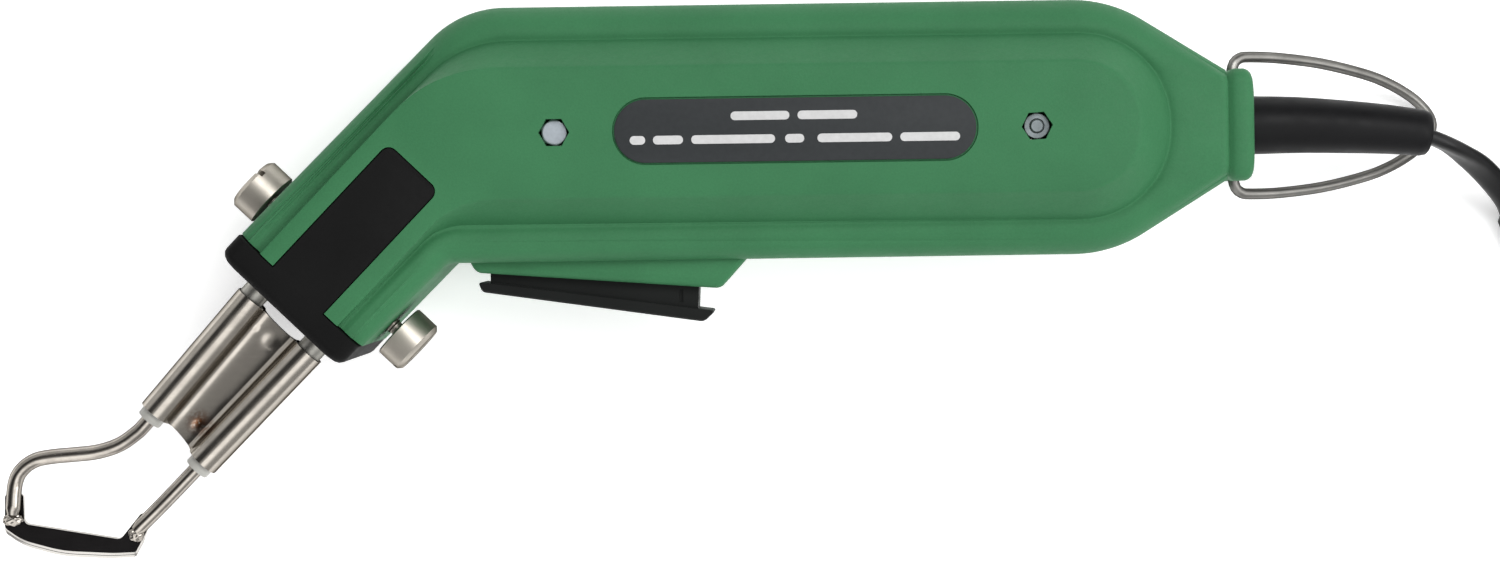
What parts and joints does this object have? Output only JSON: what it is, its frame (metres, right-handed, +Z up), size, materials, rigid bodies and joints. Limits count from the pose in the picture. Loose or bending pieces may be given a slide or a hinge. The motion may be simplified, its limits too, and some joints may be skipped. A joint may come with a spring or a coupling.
{
  "type": "hot wire cutter",
  "caption": "Hand-held hot knife with an angled neck: a trigger heats a plug-in looped blade from a built-in transformer; mains cord, strain relief and hanging bail at the rear.",
  "frame": {"origin": "centre of the flat field on the lower shell, on which the tool rests on its side", "axes": "+X along the body to the cord end, +Y to the back of the tool, away from the trigger, +Z up, across the parting plane"},
  "size_m": [0.4402, 0.1618, 0.0503],
  "materials": {
    "shell_green": "fine-grained moulded polyamide",
    "nose_black": "matte moulded thermoset",
    "trigger_black": "satin moulded plastic",
    "label_grey": "satin film",
    "zinc_steel": "bright zinc plate",
    "nickel_screw": "satin nickel plate",
    "pin_steel": "dull turned steel",
    "holder_steel": "bright pressed sheet",
    "sleeve_ceramic": "off-white ceramic, smooth",
    "rod_nickel": "nickel plate, slightly tarnished",
    "blade_steel": "polished strip, darkened by heat",
    "bail_steel": "drawn wire, galvanised",
    "sleeve_rubber": "satin",
    "cord_black": "satin PVC",
    "tie_black": "nylon",
    "plug_black": "satin moulded PVC",
    "plug_pin": "nickel-plated brass",
    "core_steel": "varnished lamination stack",
    "copper_wire": "enamelled copper",
    "copper_strip": "bare copper strip",
    "terminal_brass": "turned and milled",
    "switch_plastic": "moulded",
    "plunger_red": "moulded",
    "live_brown": "PVC insulation",
    "neutral_blue": "PVC insulation",
    "switch_lead_brown": "PVC insulation",
    "spring_steel": "drawn",
    "pivot_steel": "ground"
  },
  "bodies": {
    "housing": {"upper_shell": "shell_green", "lower_shell": "shell_green", "nose_insulator": "nose_black", "label_plate": "label_grey", "front_bolt": "zinc_steel", "front_nut": "zinc_steel", "rear_bolt": "zinc_steel", "rear_nut": "zinc_steel", "transformer_core": "core_steel", "primary_coil": "copper_wire", "secondary_winding": "copper_strip", "terminal_block_upper": "terminal_brass", "terminal_block_lower": "terminal_brass", "switch_body": "switch_plastic", "switch_lead": "switch_lead_brown", "live_lead": "live_brown", "neutral_lead": "neutral_blue", "trigger_pin": "pivot_steel", "trigger_spring": "spring_steel", "strain_relief": "sleeve_rubber", "mains_cord": "cord_black", "cord_coil": "cord_black", "cord_tail": "cord_black", "cord_tie": "tie_black", "plug_body": "plug_black", "plug_pin_a": "plug_pin", "plug_pin_b": "plug_pin"},
    "trigger": {"trigger": "trigger_black"},
    "plunger": {"switch_plunger": "plunger_red"},
    "bail": {"bail": "bail_steel"},
    "blade_unit": {"contact_pin_upper": "pin_steel", "contact_pin_lower": "pin_steel", "insulating_sleeve_upper": "sleeve_ceramic", "insulating_sleeve_lower": "sleeve_ceramic", "blade_rod_upper": "rod_nickel", "blade_rod_lower": "rod_nickel", "holder_front": "holder_steel", "holder_back": "holder_steel", "cutting_blade": "blade_steel"},
    "clamp_screw_upper": {"clamp_screw_upper": "nickel_screw"},
    "clamp_screw_lower": {"clamp_screw_lower": "nickel_screw"}
  },
  "joints": [
    {"name": "trigger_press", "type": "hinge", "parent": "housing", "child": "trigger", "pos_m": [-0.0765, -0.0265, 0.025], "axis": [0, 0, 1], "range_deg": [0, 5], "stiffness_Nm_per_rad": 0.8, "springref_deg": -2.86, "deforming": ["trigger_spring"]},
    {"name": "plunger_slide", "type": "slide", "parent": "housing", "child": "plunger", "axis": [0, 1, 0], "range_m": [0, 0.0018]},
    {"name": "bail_swing", "type": "hinge", "parent": "housing", "child": "bail", "pos_m": [0.0892, 0, 0.025], "axis": [0, 1, 0], "range_deg": [-15, 88]},
    {"name": "blade_pull", "type": "slide", "parent": "housing", "child": "blade_unit", "axis": [-0.6947, -0.7193, 0], "range_m": [0, 0.02]},
    {"name": "clamp_screw_upper_turn", "type": "hinge", "parent": "housing", "child": "clamp_screw_upper", "pos_m": [-0.11446, -0.02832, 0.025], "axis": [-0.7193, 0.6947, 0], "range_deg": [0, 360]},
    {"name": "clamp_screw_lower_turn", "type": "hinge", "parent": "housing", "child": "clamp_screw_lower", "pos_m": [-0.11571, -0.02961, 0.025], "axis": [0.7193, -0.6947, 0], "range_deg": [0, 360]}
  ],
  "couplings": [
    {"joint": "plunger_slide", "follows": "trigger_press", "m_per_rad": 0.0185}
  ]
}
